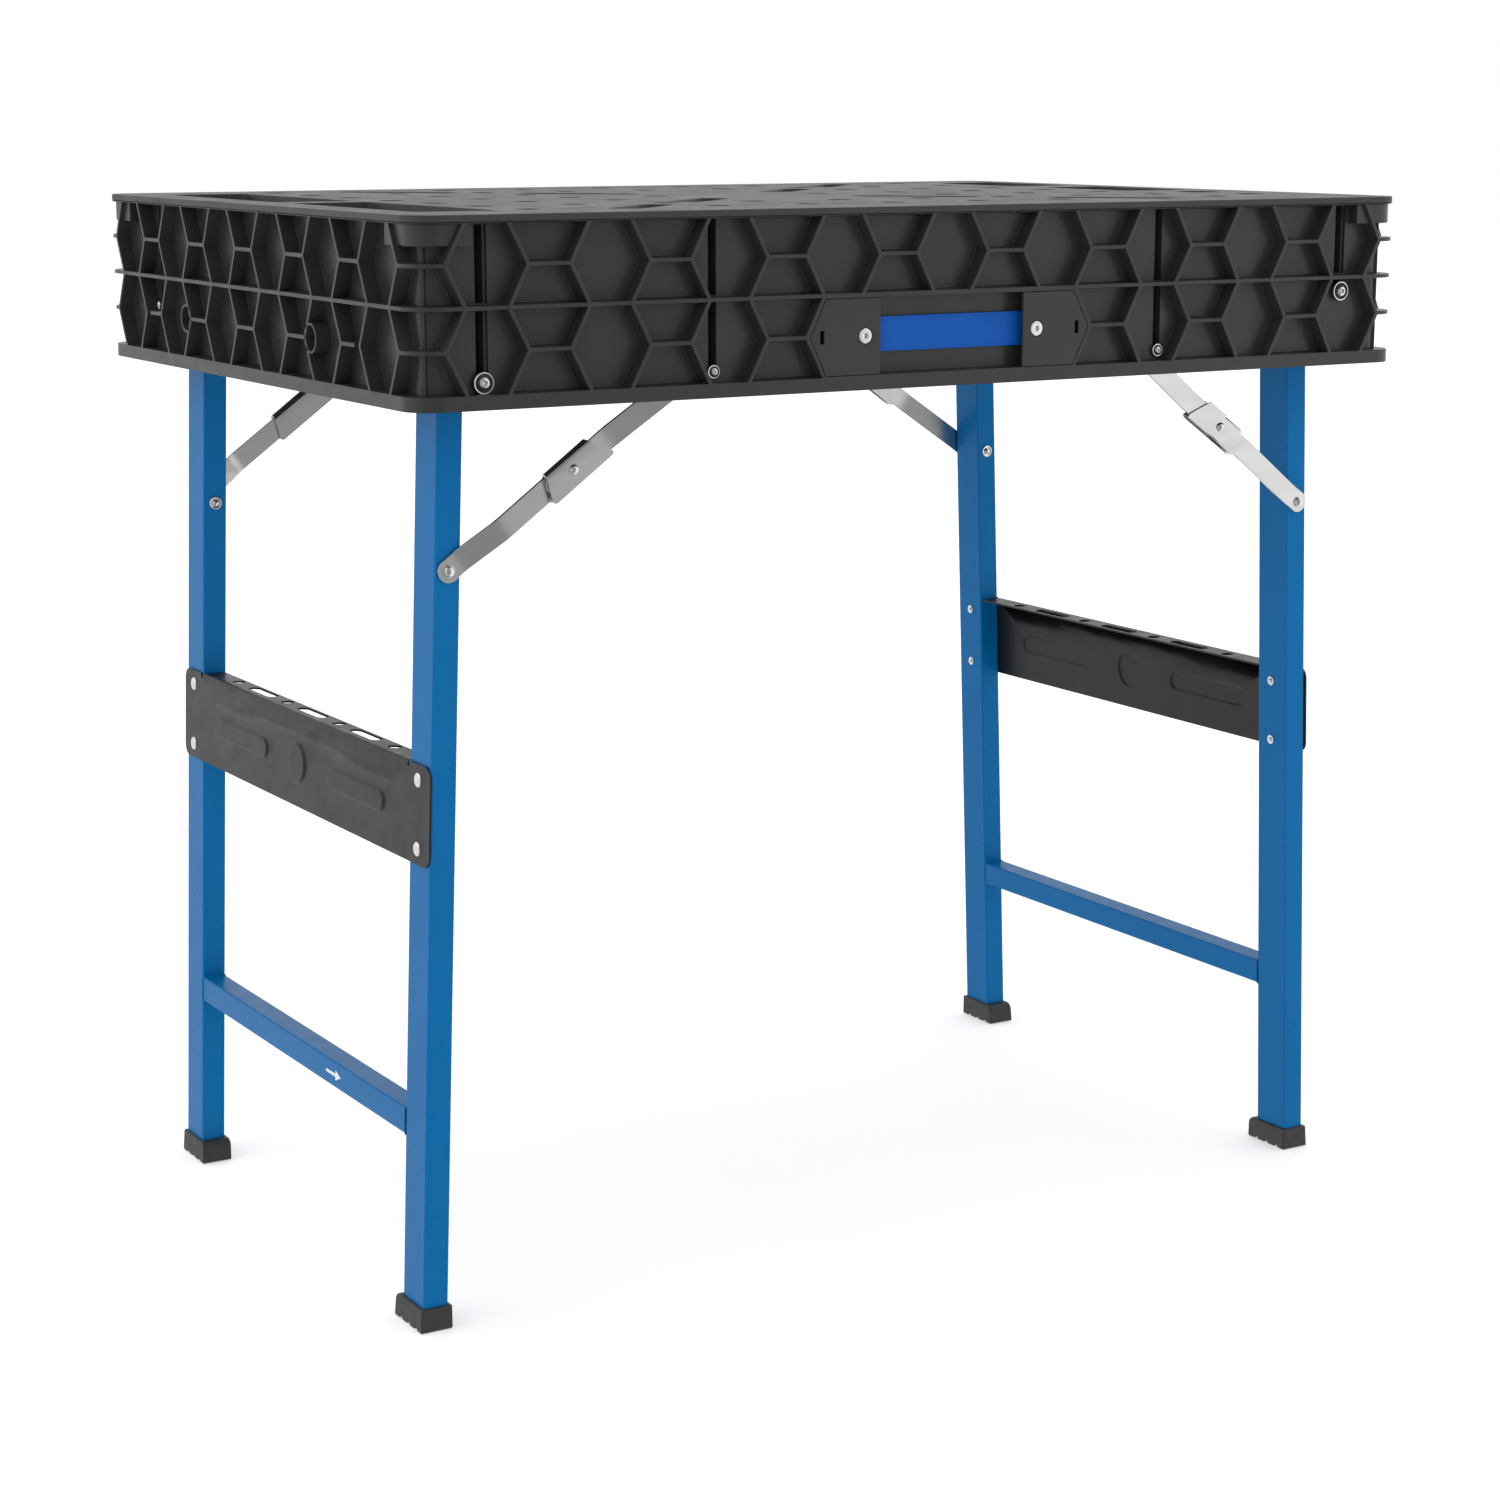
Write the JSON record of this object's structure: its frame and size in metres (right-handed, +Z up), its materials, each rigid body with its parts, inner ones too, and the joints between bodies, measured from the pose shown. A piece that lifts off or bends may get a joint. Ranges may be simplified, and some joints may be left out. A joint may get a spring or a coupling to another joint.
{
  "type": "folding workbench",
  "caption": "Folding workbench with a ribbed plastic top, two folding steel leg frames with locking knee braces, tool racks and a pull-out carrying strap.",
  "frame": {"origin": "on the floor, below the middle of the work surface", "axes": "+X along the length of the top to the right, +Y from the handle side to the rear, +Z up"},
  "size_m": [0.8708, 0.6044, 0.812],
  "materials": {
    "plastic": "moulded dark grey plastic, finely textured",
    "paint": "blue powder coat, semi-gloss",
    "panel_paint": "dark grey powder coat, satin",
    "zinc": "bright zinc plating",
    "bolt_steel": "bright plated steel",
    "rubber": "black rubber, matt",
    "strap": "blue flexible plastic, satin"
  },
  "bodies": {
    "worktop": {"deck_panel": "plastic", "deck_rib_grid": "plastic", "skirt_front": "plastic", "skirt_rear": "plastic", "skirt_left": "plastic", "skirt_right": "plastic", "leg_pivot_bolt_left_front": "bolt_steel", "leg_pivot_bolt_left_rear": "bolt_steel", "leg_pivot_bolt_right_front": "bolt_steel", "leg_pivot_bolt_right_rear": "bolt_steel", "leg_pivot_spacer_left_front": "plastic", "leg_pivot_spacer_left_rear": "plastic", "leg_pivot_spacer_right_front": "plastic", "leg_pivot_spacer_right_rear": "plastic", "brace_bolt_left_front": "bolt_steel", "brace_bolt_left_rear": "bolt_steel", "brace_bolt_right_front": "bolt_steel", "brace_bolt_right_rear": "bolt_steel", "brace_spacer_left_front": "plastic", "brace_spacer_left_rear": "plastic", "brace_spacer_right_front": "plastic", "brace_spacer_right_rear": "plastic", "handle_cover_left": "plastic", "handle_cover_right": "plastic", "handle_screw_left": "bolt_steel", "handle_screw_right": "bolt_steel", "handle_strap_tab_left": "strap", "handle_strap_tab_right": "strap"},
    "handle": {"handle_strap": "strap"},
    "left_leg_frame": {"leg_left_front": "paint", "leg_left_rear": "paint", "foot_left_front": "rubber", "foot_left_rear": "rubber", "crossbar_left": "paint", "tool_rack_left": "panel_paint"},
    "right_leg_frame": {"leg_right_front": "paint", "leg_right_rear": "paint", "foot_right_front": "rubber", "foot_right_rear": "rubber", "crossbar_right": "paint", "tool_rack_right": "panel_paint"},
    "brace_upper_left_front": {"brace_upper_link_left_front": "zinc", "brace_sleeve_left_front": "zinc", "brace_sleeve_rivet_left_front": "bolt_steel"},
    "brace_lower_left_front": {"brace_lower_link_left_front": "zinc", "brace_knee_pin_left_front": "bolt_steel"},
    "brace_upper_left_rear": {"brace_upper_link_left_rear": "zinc", "brace_sleeve_left_rear": "zinc", "brace_sleeve_rivet_left_rear": "bolt_steel"},
    "brace_lower_left_rear": {"brace_lower_link_left_rear": "zinc", "brace_knee_pin_left_rear": "bolt_steel"},
    "brace_upper_right_front": {"brace_upper_link_right_front": "zinc", "brace_sleeve_right_front": "zinc", "brace_knee_rivet_right_front": "bolt_steel"},
    "brace_lower_right_front": {"brace_lower_link_right_front": "zinc"},
    "brace_upper_right_rear": {"brace_upper_link_right_rear": "zinc", "brace_sleeve_right_rear": "zinc", "brace_knee_rivet_right_rear": "bolt_steel"},
    "brace_lower_right_rear": {"brace_lower_link_right_rear": "zinc"}
  },
  "joints": [
    {"name": "left_leg_fold", "type": "hinge", "parent": "worktop", "child": "left_leg_frame", "pos_m": [-0.38, 0, 0.698], "axis": [0, -1, 0], "range_deg": [0, 92.2]},
    {"name": "brace_skirt_left_front", "type": "hinge", "parent": "worktop", "child": "brace_upper_left_front", "pos_m": [-0.1982, 0, 0.698], "axis": [0, 1, 0], "range_deg": [0, 74.44]},
    {"name": "brace_knee_left_front", "type": "hinge", "parent": "brace_upper_left_front", "child": "brace_lower_left_front", "pos_m": [-0.30466, 0, 0.62097], "axis": [0, -1, 0], "range_deg": [0, 163.11]},
    {"name": "brace_skirt_left_rear", "type": "hinge", "parent": "worktop", "child": "brace_upper_left_rear", "pos_m": [-0.1982, 0, 0.698], "axis": [0, 1, 0], "range_deg": [0, 74.44]},
    {"name": "brace_knee_left_rear", "type": "hinge", "parent": "brace_upper_left_rear", "child": "brace_lower_left_rear", "pos_m": [-0.30466, 0, 0.62097], "axis": [0, -1, 0], "range_deg": [0, 163.11]},
    {"name": "right_leg_fold", "type": "hinge", "parent": "worktop", "child": "right_leg_frame", "pos_m": [0.38, 0, 0.738], "axis": [0, 1, 0], "range_deg": [0, 92.2]},
    {"name": "brace_skirt_right_front", "type": "hinge", "parent": "worktop", "child": "brace_upper_right_front", "pos_m": [0.1982, 0, 0.698], "axis": [0, -1, 0], "range_deg": [0, 36.68]},
    {"name": "brace_knee_right_front", "type": "hinge", "parent": "brace_upper_right_front", "child": "brace_lower_right_front", "pos_m": [0.29247, 0, 0.63035], "axis": [0, 1, 0], "range_deg": [0, 200.12]},
    {"name": "brace_skirt_right_rear", "type": "hinge", "parent": "worktop", "child": "brace_upper_right_rear", "pos_m": [0.1982, 0, 0.698], "axis": [0, -1, 0], "range_deg": [0, 36.68]},
    {"name": "brace_knee_right_rear", "type": "hinge", "parent": "brace_upper_right_rear", "child": "brace_lower_right_rear", "pos_m": [0.29247, 0, 0.63035], "axis": [0, 1, 0], "range_deg": [0, 200.12]},
    {"name": "handle_pull", "type": "slide", "parent": "worktop", "child": "handle", "axis": [0, -1, 0], "range_m": [0, 0.02], "stiffness_N_per_m": 300}
  ],
  "couplings": [
    {"joint": "brace_skirt_left_front", "follows": "left_leg_fold", "ratio": 0.80718},
    {"joint": "brace_knee_left_front", "follows": "left_leg_fold", "ratio": 1.7689},
    {"joint": "brace_skirt_left_rear", "follows": "left_leg_fold", "ratio": 0.80718},
    {"joint": "brace_knee_left_rear", "follows": "left_leg_fold", "ratio": 1.7689},
    {"joint": "brace_skirt_right_front", "follows": "right_leg_fold", "ratio": 0.3977},
    {"joint": "brace_knee_right_front", "follows": "right_leg_fold", "ratio": 2.1703},
    {"joint": "brace_skirt_right_rear", "follows": "right_leg_fold", "ratio": 0.3977},
    {"joint": "brace_knee_right_rear", "follows": "right_leg_fold", "ratio": 2.1703}
  ]
}
